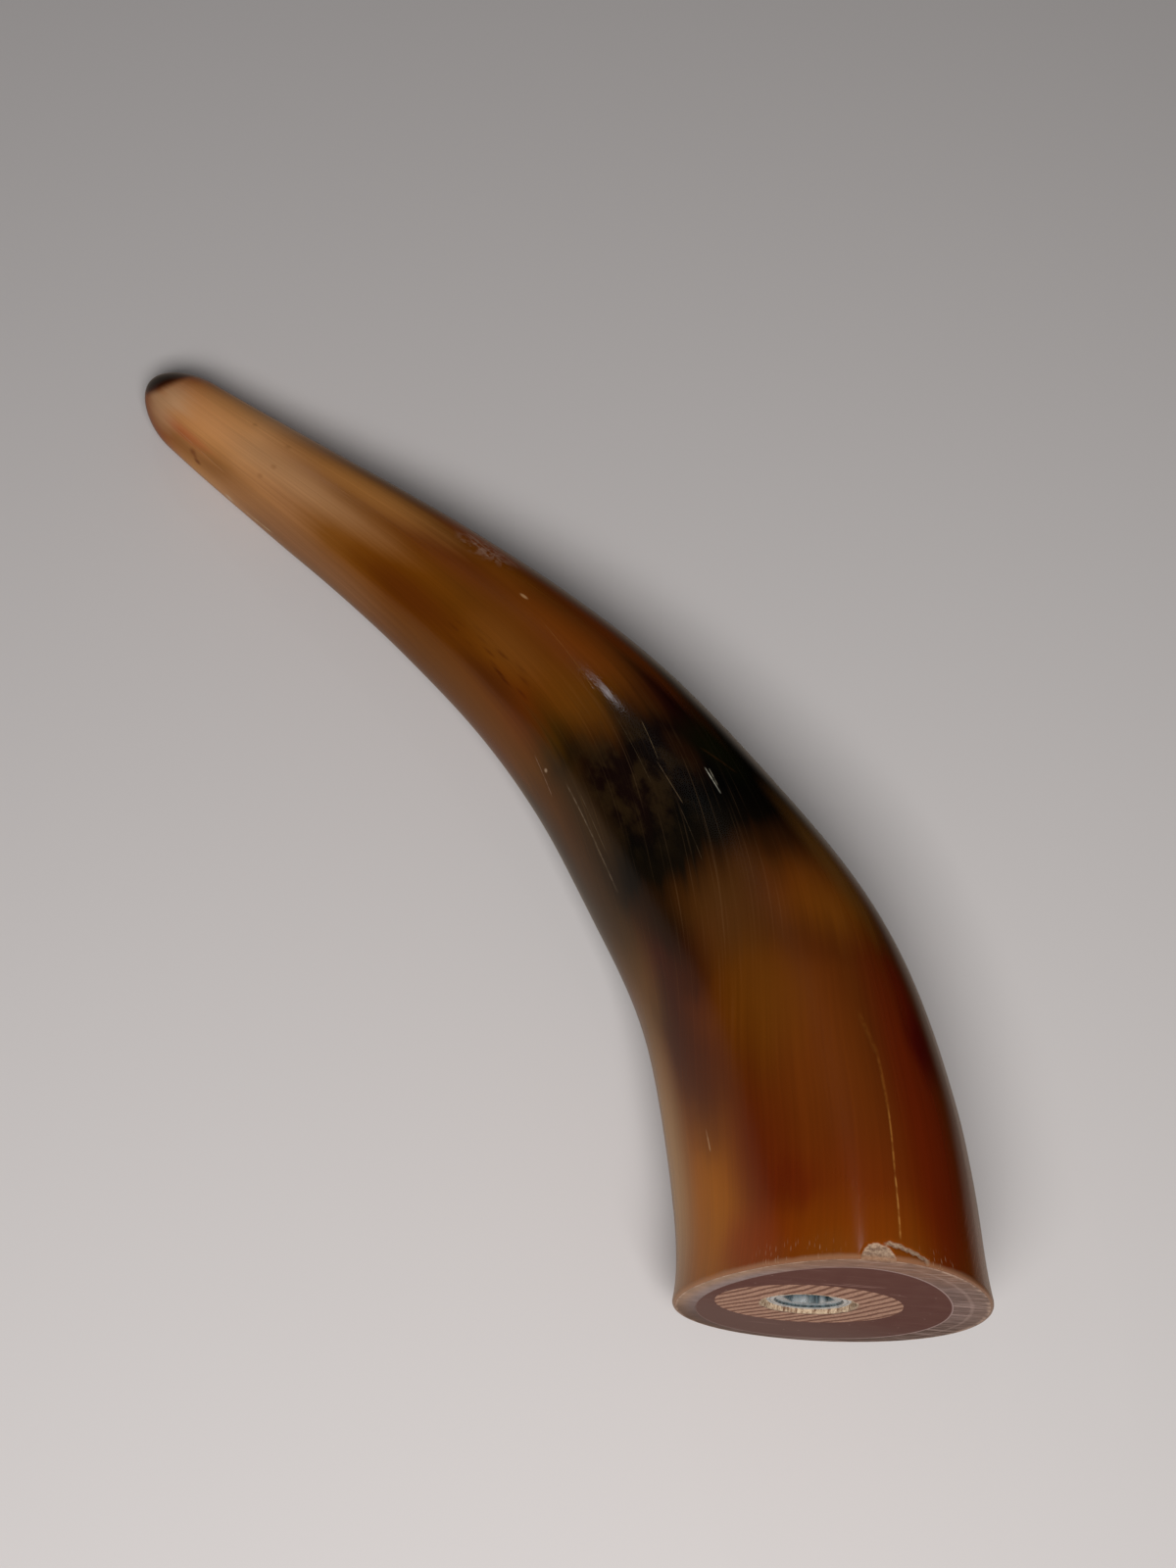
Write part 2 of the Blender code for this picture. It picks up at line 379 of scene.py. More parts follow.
def group_patch():
    """Soft oval patch on the unrolled horn."""
    bench, given, out = new_group("patch", ("Mask",), {
        "Along": 0.0, "Around": 0.0, "Middle Along": 0.0, "Middle Around": 90.0,
        "Half Length": 10.0, "Half Turn": 20.0, "Softness": 0.5})
    ahead = bench.less(given["Along"], given["Middle Along"])
    aside = bench.less(given["Around"], given["Middle Around"])
    aside = bench.math("WRAP", aside, 180.0, -180.0)
    ahead = bench.math("DIVIDE", ahead, given["Half Length"])
    aside = bench.math("DIVIDE", aside, given["Half Turn"])
    square = bench.times_plus(ahead, ahead, bench.times(aside, aside))
    far = bench.math("SQRT", square)
    edge = bench.math("ADD", 1.0, given["Softness"])
    core = bench.less(1.0, given["Softness"])
    bench.feed(out["Mask"], bench.ease(far, edge, core))
    return bench.tree


def group_scratch():
    """One fine straight line on the unrolled horn, fading at its ends."""
    bench, given, out = new_group("scratch", ("Mask",), {
        "Along": 0.0, "Around": 0.0, "From Along": 0.0, "From Around": 90.0,
        "To Along": 10.0, "To Around": 90.0, "Half Width": 0.3})
    span = bench.less(given["To Along"], given["From Along"])
    gone = bench.less(given["Along"], given["From Along"])
    part = bench.math("DIVIDE", gone, span)
    swing = bench.less(given["To Around"], given["From Around"])
    line = bench.times_plus(swing, part, given["From Around"])
    off = bench.less(given["Around"], line)
    off = bench.math("ABSOLUTE", bench.math("WRAP", off, 180.0, -180.0))
    body = bench.ease(off, given["Half Width"], 0.0)
    start = bench.ease(part, 0.0, 0.12)
    end = bench.ease(part, 1.0, 0.82)
    bench.feed(out["Mask"], bench.times(body, bench.times(start, end)))
    return bench.tree


def group_fibres():
    """Fine fibres that run along the horn, slightly wound round it."""
    bench, given, out = new_group("fibres", ("Streaks", "Raised"), {
        "Winding": -3.4, "Twist": -0.8, "Fineness": 700.0, "Length": 14.0}, "Straight")
    x, y, z = bench.split(given["Straight"])
    twist = bench.times(bench.ease(z, 0.035, 0.135), given["Twist"])
    wound = bench.math("ADD", bench.times(z, given["Winding"]), twist)
    angle = bench.less(bench.math("ARCTAN2", y, x), wound)
    wound = bench.arrow(bench.times(bench.math("COSINE", angle), FIBRE_RADIUS),
                        bench.times(bench.math("SINE", angle), FIBRE_RADIUS), z)
    scale = bench.arrow(given["Fineness"], given["Fineness"], given["Length"])
    thread = bench.clouds(bench.stretch(wound, scale), 1.0, 4.0, 0.6)
    bench.feed(out["Streaks"], bench.less(thread, 0.5))
    bench.feed(out["Raised"], thread)
    return bench.tree


def group_dashes():
    """Short fine whiskers and dashes, all one way."""
    bench, given, out = new_group("dashes", ("Mask",), {
        "Across": 1200.0, "Lengthwise": 260.0, "Size": 0.22}, "Vector")
    scale = bench.arrow(given["Across"], given["Across"], given["Lengthwise"])
    cells = bench.add("ShaderNodeTexVoronoi", {
        "Vector": bench.stretch(given["Vector"], scale), "Scale": 1.0})
    keep = bench.add("ShaderNodeSeparateColor", {"Color": cells.outputs["Color"]}).outputs["Red"]
    chosen = bench.math("GREATER_THAN", keep, 0.45)
    spot = bench.ease(cells.outputs["Distance"], given["Size"], 0.0)
    bench.feed(out["Mask"], bench.times(spot, chosen))
    return bench.tree


def group_hatching():
    """Dense short scratches at a slant to the horn's length."""
    bench, given, out = new_group("hatching", ("Lines",), {
        "Along": 0.0, "Around": 0.0, "Slant": 0.7, "Fineness": 3.0, "Length": 0.12})
    arc = bench.times(given["Around"], 0.45)
    flat = bench.arrow(given["Along"], arc, 0.0)
    turned_flat = bench.add("ShaderNodeVectorRotate", {
        "Vector": flat, "Axis": (0.0, 0.0, 1.0), "Angle": given["Slant"]}).outputs[0]
    scale = bench.arrow(given["Length"], given["Fineness"], 1.0)
    lines = bench.clouds(bench.stretch(turned_flat, scale), 1.0, 3.0, 0.6)
    bench.feed(out["Lines"], bench.ease(lines, 0.54, 0.66))
    return bench.tree


def group_sanding():
    """Parallel sanding lines on a cut face, in the face's own plane."""
    bench, given, out = new_group("sanding", ("Lines",), {"Fineness": 1500.0, "Run": 60.0}, "Face")
    scale = bench.arrow(given["Run"], given["Run"], given["Fineness"])
    lines = bench.clouds(bench.stretch(given["Face"], scale), 1.0, 3.0, 0.6)
    bench.feed(out["Lines"], lines)
    return bench.tree


UNROLL = group_unroll()
PATCH = group_patch()
SCRATCH = group_scratch()
FIBRES = group_fibres()
DASHES = group_dashes()
HATCHING = group_hatching()
SANDING = group_sanding()


# painted light: the cut face's swatches are made this much lighter, to make up for the light the face
# misses
PAINTED_LIGHT_LIFT = 1.45


def paint(red, green, blue, lift=1.0):
    """Linear colour from a swatch's 0 to 255 numbers."""
    out = []
    for part in (red, green, blue):
        c = part / 255.0
        c = c / 12.92 if c <= 0.04045 else ((c + 0.055) / 1.055) ** 2.4
        out.append(min(1.0, c * lift))
    return (*out, 1.0)


def lightened_for_shade(red, green, blue):
    """Swatch for the cut face, painted lighter because the face lies turned away from the light."""
    return paint(red, green, blue, PAINTED_LIGHT_LIFT)


def patch_of(bench, along, around, middle_along, middle_around, half_length, half_turn, softness,
             label=""):
    """Mask of one soft oval patch."""
    return bench.group(PATCH, {
        "Along": along, "Around": around, "Middle Along": middle_along,
        "Middle Around": middle_around, "Half Length": half_length,
        "Half Turn": half_turn, "Softness": softness}, label)["Mask"]


def dashes_of(bench, vector, across, lengthwise, size):
    """Mask of scattered short dashes."""
    return bench.group(DASHES, {"Vector": vector, "Across": across, "Lengthwise": lengthwise,
                                "Size": size})["Mask"]


def scratch_of(bench, along, around, ends, half_width, label):
    """Mask of one straight scratch between two places."""
    return bench.group(SCRATCH, {
        "Along": along, "Around": around, "From Along": ends[0], "From Around": ends[1],
        "To Along": ends[2], "To Around": ends[3], "Half Width": half_width}, label)["Mask"]


def new_material(name):
    material = bpy.data.materials.new(name)
    material.use_nodes = True
    bench = Bench(material.node_tree)
    return material, bench, material.node_tree.nodes["Principled BSDF"]


def face_plane(bench):
    """Object coordinates turned into the horn's own frame, so that Y is the depth below the cut."""
    place = bench.add("ShaderNodeTexCoord").outputs["Object"]
    return bench.add("ShaderNodeMapping", {
        "Vector": place, "Location": LAY.to_translation(),
        "Rotation": LAY.to_euler("XYZ")}, vector_type="TEXTURE").outputs[0]


# ------------------------------------------------------------ polished horn

POLISH = 0.13
POLISHED_SPOT = (127.0, 93.0)
MATT_RIDGE = 0.32

# distance from the cut in millimetres, and the swatch there
HORN_SHADES = (
    (0.0, (122, 60, 10)),
    (5.0, (119, 53, 4)),
    (14.0, (105, 41, 4)),
    (26.0, (97, 40, 4)),
    (40.0, (91, 39, 4)),
    (54.0, (94, 42, 4)),
    (64.0, (69, 26, 4)),
    (72.0, (82, 28, 4)),
    (78.0, (69, 32, 4)),
    (83.0, (50, 24, 4)),
    (88.0, (14, 8, 4)),
    (96.0, (4, 4, 4)),
    (104.0, (11, 4, 4)),
    (112.0, (18, 4, 4)),
    (118.0, (45, 24, 4)),
    (122.0, (35, 20, 4)),
    (127.0, (63, 37, 4)),
    (138.0, (96, 43, 4)),
    (150.0, (104, 53, 4)),
    (164.0, (102, 54, 4)),
    (178.0, (113, 60, 4)),
    (188.0, (123, 69, 13)),
    (198.0, (129, 77, 27)),
    (210.0, (163, 112, 70)),
    (222.0, (204, 146, 94)),
    (234.0, (204, 141, 77)),
    (244.0, (157, 77, 19)),
)

# name: middle along, middle round, half length, half turn, softness, swatch, strength
HORN_PATCHES = (
    ("orange_by_the_inner_rim", 8, 157, 28, 20, 0.7, (162, 91, 4), 0.9),
    ("brown_rim", 4, 132, 7, 14, 0.7, (129, 48, 4), 0.7),
    ("red_blotch", 23, 126, 13, 11, 0.8, (90, 22, 4), 0.5),
    ("red_speckle", 16, 115, 5, 7, 0.8, (90, 22, 4), 0.5),
    ("outer_red", 24, 62, 32, 12, 0.6, (108, 31, 4), 0.85),
    ("wine_spot", 39, 51, 6, 8, 0.7, (78, 8, 4), 0.9),
    ("wine_tail", 49, 50, 7, 6, 0.8, (104, 16, 4), 0.6),
    ("golden_lane", 42, 97, 14, 13, 0.8, (107, 49, 4), 0.7),
    ("amber_streak", 57, 113, 13, 16, 0.8, (101, 54, 4), 0.7),
    ("tan_streaks", 73, 111, 8, 22, 0.8, (74, 45, 15), 0.7),
    ("ochre_edge", 68, 64, 8, 22, 0.8, (127, 68, 4), 0.8),
    ("purple_brown", 62, 158, 15, 10, 0.7, (56, 22, 10), 0.85),
    ("brown_hook", 46, 150, 14, 12, 0.8, (71, 26, 4), 0.8),
    ("dark_wedge", 76, 140, 10, 11, 0.8, (18, 10, 5), 0.8),
    ("grey_flank", 75, 175, 16, 14, 0.8, (107, 70, 27), 0.8),
    ("pale_flank", 28, 188, 30, 16, 0.8, (182, 136, 85), 0.9),
    ("olive_flank", 98, 172, 18, 18, 0.7, (58, 38, 19), 0.9),
    ("grey_olive", 110, 146, 12, 11, 0.8, (59, 39, 16), 0.8),
    ("olive_brown", 111, 119, 13, 14, 0.7, (16, 4, 4), 0.9),
    ("dark_brown", 114, 97, 8, 12, 0.8, (7, 4, 4), 0.8),
    ("amber_window", 106, 82, 4.5, 6, 0.6, (37, 17, 4), 0.8),
    ("black_tail", 108, 62, 11, 12, 0.7, (20, 20, 4), 0.9),
    ("dark_red_edge", 119, 66, 9, 9, 0.7, (33, 4, 4), 0.9),
    ("golden_after_the_band", 133, 110, 12, 13, 0.8, (105, 57, 4), 0.8),
    ("golden_low", 141, 79, 17, 13, 0.8, (122, 59, 4), 0.8),
    ("outer_shade", 140, 55, 22, 7, 0.8, (119, 52, 4), 0.8),
    ("orange_cracks", 147, 140, 10, 8, 0.8, (77, 34, 7), 0.8),
    ("tan_middle", 149, 116, 9, 11, 0.8, (114, 65, 18), 0.7),
    ("dark_amber", 174, 133, 14, 13, 0.8, (90, 40, 4), 0.9),
    ("dark_amber_low", 170, 87, 13, 11, 0.8, (106, 48, 4), 0.8),
    ("inner_brown", 150, 168, 36, 16, 0.8, (109, 63, 19), 0.8),
    ("pink_flank", 200, 172, 18, 20, 0.8, (140, 94, 59), 0.8),
    ("ochre_outer", 196, 72, 18, 14, 0.8, (192, 129, 67), 0.8),
    ("pale_lane", 218, 108, 26, 13, 0.8, (176, 129, 87), 0.8),
    ("rosy_tip", 232, 150, 16, 22, 0.8, (125, 75, 31), 0.8),
    ("orange_by_the_tip", 238, 139, 6, 7, 0.8, (155, 36, 4), 0.7),
    ("outer_glow", 76, 49, 13, 9, 0.8, (121, 78, 31), 0.8),
    ("amber_outer", 162, 69, 8, 10, 0.8, (134, 70, 4), 0.7),
    ("pale_end", 236, 100, 9, 40, 0.8, (204, 142, 89), 0.8),
    ("pink_scuff", 171, 46, 9, 14, 0.8, (167, 72, 4), 0.6),
    ("milky_by_the_tip", 246, 120, 5, 36, 0.8, (196, 151, 110), 0.8),
    ("under_band", 100, 262, 24, 60, 0.5, (26, 17, 11), 0.85),
    ("under_amber", 30, 285, 40, 45, 0.7, (118, 58, 10), 0.6),
    ("under_honey", 165, 280, 36, 50, 0.7, (124, 70, 22), 0.6),
)


# name: from along, from around, to along, to around, half width in degrees, strength, swatch
HORN_SCRATCHES = (
    ("yellow_line_start", 3.6, 83.4, 16.5, 81.6, 0.55, 0.60, (190, 132, 64)),
    ("yellow_line", 15.5, 81.8, 28.0, 78.8, 0.60, 0.52, (182, 122, 52)),
    ("yellow_line_end", 26.5, 79.2, 37.5, 77.2, 1.10, 0.28, (160, 100, 36)),
    ("yellow_line_faint", 36.5, 77.2, 45.5, 79.6, 1.60, 0.16, (150, 96, 34)),
    ("short_line", 27.5, 149.6, 33.5, 150.4, 0.60, 0.55, (198, 158, 116)),
    ("grey_hair", 91.0, 154.6, 104.5, 149.8, 0.90, 0.30, (140, 120, 96)),
    ("grey_hair_upper", 102.0, 150.4, 119.0, 145.2, 0.80, 0.30, (158, 136, 110)),
    ("grey_hair_beside", 99.0, 147.5, 115.0, 141.0, 0.50, 0.20, (136, 114, 88)),
    ("pink_hair", 119.0, 161.0, 129.0, 152.2, 0.60, 0.35, (176, 140, 116)),
    ("gouge_left", 94.8, 81.8, 101.6, 78.9, 0.50, 1.00, (206, 200, 180)),
    ("gouge_right", 96.6, 80.2, 101.0, 77.3, 0.40, 0.75, (164, 156, 134)),
    ("band_hair", 107.5, 96.3, 117.5, 88.8, 0.32, 0.50, (134, 112, 82)),
    ("band_hair_beside", 96.5, 100.2, 108.0, 97.2, 0.35, 0.45, (124, 102, 74)),
    ("band_hair_long", 104.0, 106.5, 124.0, 97.0, 0.32, 0.18, (116, 94, 66)),
    ("band_hair_low", 84.0, 109.0, 98.0, 101.5, 0.35, 0.20, (104, 84, 60)),
    ("brown_arc", 97.5, 64.0, 106.0, 73.0, 1.30, 0.55, (60, 34, 8)),
    ("inner_edge_line", 209.5, 181.3, 218.5, 184.3, 1.5, 0.65, (232, 204, 158)),
    ("scuff_line", 163.0, 62.5, 175.0, 50.5, 1.3, 0.50, (206, 170, 142)),
    ("scuff_line_beside", 165.5, 66.5, 172.5, 58.0, 1.1, 0.50, (202, 166, 138)),
    ("scuff_line_outer", 160.0, 56.0, 171.0, 44.0, 1.1, 0.35, (190, 152, 126)),
    ("tip_hair", 224.0, 150.0, 243.0, 141.0, 0.8, 0.20, (214, 172, 132)),
    ("amber_hair", 127.0, 98.0, 148.0, 86.0, 0.35, 0.18, (190, 140, 80)),
)

# name: along, around, half length, half turn, softness, swatch, strength
HORN_SPOTS = (
    ("pale_dot", 124.2, 152.5, 0.4, 1.1, 0.6, (196, 166, 136), 0.5),
    ("pale_dot_on_the_ridge", 153.9, 79.0, 0.9, 1.1, 0.5, (206, 160, 110), 0.6),
    ("dark_speck", 215.4, 108.5, 0.6, 2.2, 0.8, (132, 84, 44), 0.35),
    ("dark_speck_inner", 216.9, 125.0, 0.6, 2.2, 0.8, (134, 86, 48), 0.35),
    ("dark_speck_low", 225.4, 76.0, 0.5, 2.4, 0.8, (134, 86, 44), 0.3),
    ("dark_speck_mid", 216.0, 79.0, 0.6, 2.4, 0.8, (134, 86, 44), 0.3),
    ("brown_mark", 233.9, 156.0, 0.8, 4.2, 0.7, (112, 54, 22), 0.6),
    ("brown_mark_beside", 232.2, 165.0, 0.8, 3.2, 0.7, (104, 50, 20), 0.7),
    ("brown_mark_between", 233.0, 160.5, 0.5, 3.0, 0.8, (116, 58, 26), 0.5),
    ("pale_flake", 222.8, 185.5, 1.0, 3.6, 0.7, (214, 190, 158), 0.6),
)


def horn_shades(bench, along):
    """Colour along the horn, from the table of shades."""
    ramp = bench.add("ShaderNodeValToRGB", {"Fac": bench.math("DIVIDE", along, LENGTH / MM)})
    stops = ramp.color_ramp.elements
    while len(stops) < len(HORN_SHADES):
        stops.new(0.5)
    for stop, (distance, swatch) in zip(stops, HORN_SHADES):
        stop.position = distance * MM / LENGTH
        stop.color = paint(*swatch)
    return ramp.outputs["Color"]


def horn_finish():
    """Polished horn: bands and blotches under the polish, fibres, scratches and a broken rim."""
    material, bench, shader = new_material("polished_horn")
    straight = bench.attribute("straight", "Vector")
    broken = bench.attribute("broken")
    place = bench.group(UNROLL, {"Straight": straight})
    along, around = place["Along"], place["Around"]

    def oval(*shape):
        return patch_of(bench, along, around, *shape)

    def fibres(fineness, length):
        return bench.group(FIBRES, {"Straight": straight, "Fineness": fineness, "Length": length})

    fine, hair, broad = fibres(1000.0, 20.0), fibres(1900.0, 26.0), fibres(170.0, 10.0)
    drift = bench.less(bench.clouds(straight, 55.0, 2.0), 0.5)
    ragged = bench.times_plus(broad["Streaks"], 10.0, along)
    ragged = bench.times_plus(fine["Streaks"], 4.0, ragged)
    ragged = bench.times_plus(drift, 7.0, ragged)

    colour = horn_shades(bench, ragged)
    for name, *shape, swatch, strength in HORN_PATCHES:
        mask = patch_of(bench, ragged, around, *shape, label=name)
        colour = bench.cover(colour, mask, strength, paint(*swatch))

    # dark end of the tip, lower on the outside of the bend
    lean = bench.math("COSINE", bench.math("RADIANS", bench.less(around, 58.0)))
    end = bench.times_plus(lean, 6.3, along)
    end = bench.times_plus(drift, 3.0, end)
    colour = bench.blend(bench.ease(end, 250.8, 254.0), colour, paint(72, 26, 8))
    colour = bench.blend(bench.ease(end, 252.4, 255.6), colour, paint(24, 13, 9))

    # brown mottling inside the dark band
    mottle = bench.clouds(bench.stretch(straight, (1.0, 1.0, 0.6)), 230.0, 4.0, 0.6)
    mottle = bench.times(bench.ease(mottle, 0.44, 0.66), oval(109.0, 113.0, 15.0, 27.0, 0.6))
    colour = bench.cover(colour, mottle, 0.40, paint(56, 40, 18))

    # red speckle near the cut, and small red-brown cracks further up
    speckle = bench.ease(bench.clouds(straight, 1900.0, 3.0, 0.7), 0.50, 0.66)
    speckle = bench.times(speckle, oval(17.0, 119.0, 5.5, 7.0, 0.8))
    colour = bench.cover(colour, speckle, 0.35, paint(90, 20, 4))
    cracks = dashes_of(bench, straight, 1000.0, 130.0, 0.55)
    cracks = bench.times(cracks, oval(148.5, 129.5, 11.0, 9.5, 0.7))
    colour = bench.cover(colour, cracks, 0.85, paint(60, 16, 4))

    # fibres lighten and darken the horn a little
    tone = bench.times_plus(fine["Streaks"], 0.26, 1.0)
    tone = bench.times_plus(broad["Streaks"], 0.20, tone)
    tone = bench.times_plus(hair["Streaks"], 0.30, tone)
    colour = bench.shade(colour, tone)
    hairs = bench.ease(hair["Streaks"], 0.07, 0.20)
    hairs = bench.times(hairs, oval(97.0, 115.0, 40.0, 50.0, 0.6))
    colour = bench.cover(colour, hairs, 0.07, paint(166, 128, 88))

    for name, *shape, swatch, strength in HORN_SPOTS:
        mask = patch_of(bench, along, around, *shape, label=name)
        colour = bench.cover(colour, mask, strength, paint(*swatch))

    # scratches: pale lines, also pressed a little into the surface
    pressed = 0.0
    patchy = bench.ease(bench.clouds(straight, 650.0, 2.0), 0.34, 0.56, 0.35, 1.0)
    for name, *ends, width, strength, swatch in HORN_SCRATCHES:
        mask = bench.times(scratch_of(bench, along, around, ends, width, name), patchy)
        colour = bench.cover(colour, mask, strength, paint(*swatch))
        pressed = bench.math("MAXIMUM", pressed, mask)

    # whiskers by the rim, and slanting scratches on the outside of the bend
    whiskers = dashes_of(bench, straight, 2300.0, 210.0, 0.40)
    inner = patch_of(bench, 0.0, around, 0.0, 116.0, 1.0, 12.0, 0.5)
    outer = patch_of(bench, 0.0, around, 0.0, 69.0, 1.0, 7.0, 0.5)
    by_the_rim = bench.times(bench.math("MAXIMUM", inner, outer), bench.ease(along, 5.2, 0.6))
    whiskers = bench.times(whiskers, by_the_rim)
    colour = bench.cover(colour, whiskers, 0.6, paint(206, 172, 138))
    hatching = bench.group(HATCHING, {"Along": along, "Around": around})["Lines"]
    hatching = bench.times(hatching, oval(7.0, 31.0, 8.5, 16.0, 0.5))
    colour = bench.cover(colour, hatching, 0.45, paint(188, 146, 128))

    # scuffed place on the outside, and the broken rim
    scuff = bench.ease(bench.clouds(straight, 520.0, 4.0, 0.7), 0.44, 0.62)
    scuff = bench.times(oval(168.5, 59.0, 5.5, 10.0, 0.7), scuff)
    colour = bench.cover(colour, scuff, 0.55, paint(186, 146, 124))
    flaky = bench.clouds(bench.stretch(straight, (1.0, 1.0, 1.8)), 1150.0, 4.0, 0.7)
    flakes = bench.blend(bench.ease(flaky, 0.28, 0.68), paint(122, 94, 76), paint(178, 150, 126))
    colour = bench.blend(bench.ease(broken, 0.18, 0.62), colour, flakes)

    # the edge of the cut is rubbed pale
    rubbed = bench.ease(bench.times_plus(broad["Streaks"], 1.2, along), 1.15, 0.35)
    colour = bench.cover(colour, rubbed, 0.7, paint(136, 98, 72))
    bench.feed(shader.inputs["Base Color"], colour)

    # the ridge is a little matt, but for one well polished spot
    gloss = bench.times_plus(fine["Streaks"], 0.10, POLISH)
    ridge = oval(105.0, 91.0, 92.0, 30.0, 0.3)
    polished = oval(*POLISHED_SPOT, 6.6, 7.0, 0.8)
    matt = bench.times(ridge, bench.less(1.0, polished))
    gloss = bench.times_plus(matt, MATT_RIDGE, gloss)
    gloss = bench.times_plus(polished, -0.05, gloss)
    gloss = bench.times_plus(scuff, 0.25, gloss)
    gloss = bench.times_plus(hatching, 0.18, gloss)
    bench.feed(shader.inputs["Roughness"], bench.times_plus(broken, 0.5, gloss))

    # fine relief: fibres, polishing lines, scratches, flakes and the scuff
    raised = bench.times(fine["Raised"], 0.014)
    polish_lines = bench.times_plus(oval(*POLISHED_SPOT, 10.0, 10.0, 0.8), 0.022, 0.006)
    raised = bench.times_plus(hair["Raised"], polish_lines, raised)
    raised = bench.times_plus(pressed, -0.03, raised)
    raised = bench.times_plus(bench.times(flaky, broken), 0.22, raised)
    raised = bench.times_plus(scuff, -0.03, raised)
    bench.relief(shader, raised)
    shader.inputs["IOR"].default_value = 1.44
    return material


def sawn_finish():
    """Sanded cut through the horn's wall: paler on the inner side of the bend, lined on the outer."""
    material, bench, shader = new_material("sawn_horn")
    across = bench.attribute("across")
    face = face_plane(bench)
    x, _, z = bench.split(face)
    outer = bench.ease(x, -0.018, 0.022)
    inner_tone = bench.blend(bench.ease(across, 0.1, 0.9), lightened_for_shade(118, 100, 96), lightened_for_shade(136, 106, 84))
    outer_tone = bench.blend(bench.ease(across, 0.2, 0.9), lightened_for_shade(93, 71, 64), lightened_for_shade(98, 76, 66))
    colour = bench.blend(outer, inner_tone, outer_tone)
    colour = bench.cover(colour, bench.ease(z, 0.004, -0.022), 0.85, lightened_for_shade(64, 42, 32))
    colour = bench.cover(colour, bench.ease(z, 0.020, 0.034), 0.7, lightened_for_shade(112, 76, 54))
    lines = bench.group(SANDING, {"Face": face})["Lines"]
    stronger_outside = bench.times_plus(outer, 0.38, 0.12)
    colour = bench.cover(colour, bench.ease(lines, 0.48, 0.68), stronger_outside,
                         lightened_for_shade(176, 150, 142))
    cloud = bench.clouds(face, 420.0, 3.0)
    colour = bench.shade(colour, bench.ease(cloud, 0.3, 0.7, 0.86, 1.12))

    # a growth line in the wall, and a pale edge along the rim: a painted highlight where the bevel
    # catches the light, broken into scratchy patches
    wander = bench.times_plus(bench.less(cloud, 0.5), 0.10, across)
    off = bench.math("ABSOLUTE", bench.less(wander, 0.50))
    growth = bench.times(bench.ease(off, 0.075, 0.02), bench.ease(x, 0.008, 0.018))
    colour = bench.cover(colour, growth, 0.22, paint(190, 160, 148))
    # painted highlight along the rim's bevel, kept in patches
    worn = bench.times(bench.ease(wander, 0.86, 0.99), bench.ease(cloud, 0.38, 0.60))
    colour = bench.cover(colour, worn, 0.55, paint(206, 172, 148))
    bench.feed(shader.inputs["Base Color"], colour)
    bench.relief(shader, bench.times(lines, 0.05))
    shader.inputs["Roughness"].default_value = 0.55
    return material


def horn_turn_steps():
    """Angles of the horn's corners, closer together round the broken place."""
    return closer_turns(248, 62.0, 108.0, 3.0)


# the broken place on the rim: degrees round the horn and millimetres from the cut
CHIP_MIDDLE = 91.0
CHIP_HALF_TURN = 7.4
CHIP_REACH = 3.2
CHIP_ARC = 0.41


def chip_depth(along, around):
    """Depth of the broken place on the rim and how broken it is, from millimetres and degrees."""
    arc = around * CHIP_ARC
    wobble = 0.30 * rough(arc, along, 3.1, 0.9)
    aside = (around - CHIP_MIDDLE) / CHIP_HALF_TURN
    reach = CHIP_REACH * math.sqrt(max(0.0, 1.0 - aside ** 2))
    flake = smooth_step(0.0, 0.7, reach - along + wobble) if abs(aside) < 1.0 else 0.0
    # a thin arm runs on over an island that is left whole
    crest = 2.9 - 2.5 * (max(0.0, 86.0 - around) / 19.0) ** 1.4 + 1.3 * wobble
    arm = smooth_step(0.75, 0.25, abs(along - crest))
    arm *= smooth_step(66.0, 70.0, around) * smooth_step(91.0, 86.0, around)
    inside = max(flake, 0.55 * arm)
    depth = flake * (0.55 + 0.22 * rough(arc, along, 7.7, 1.3)) + arm * 0.22
    return depth, inside


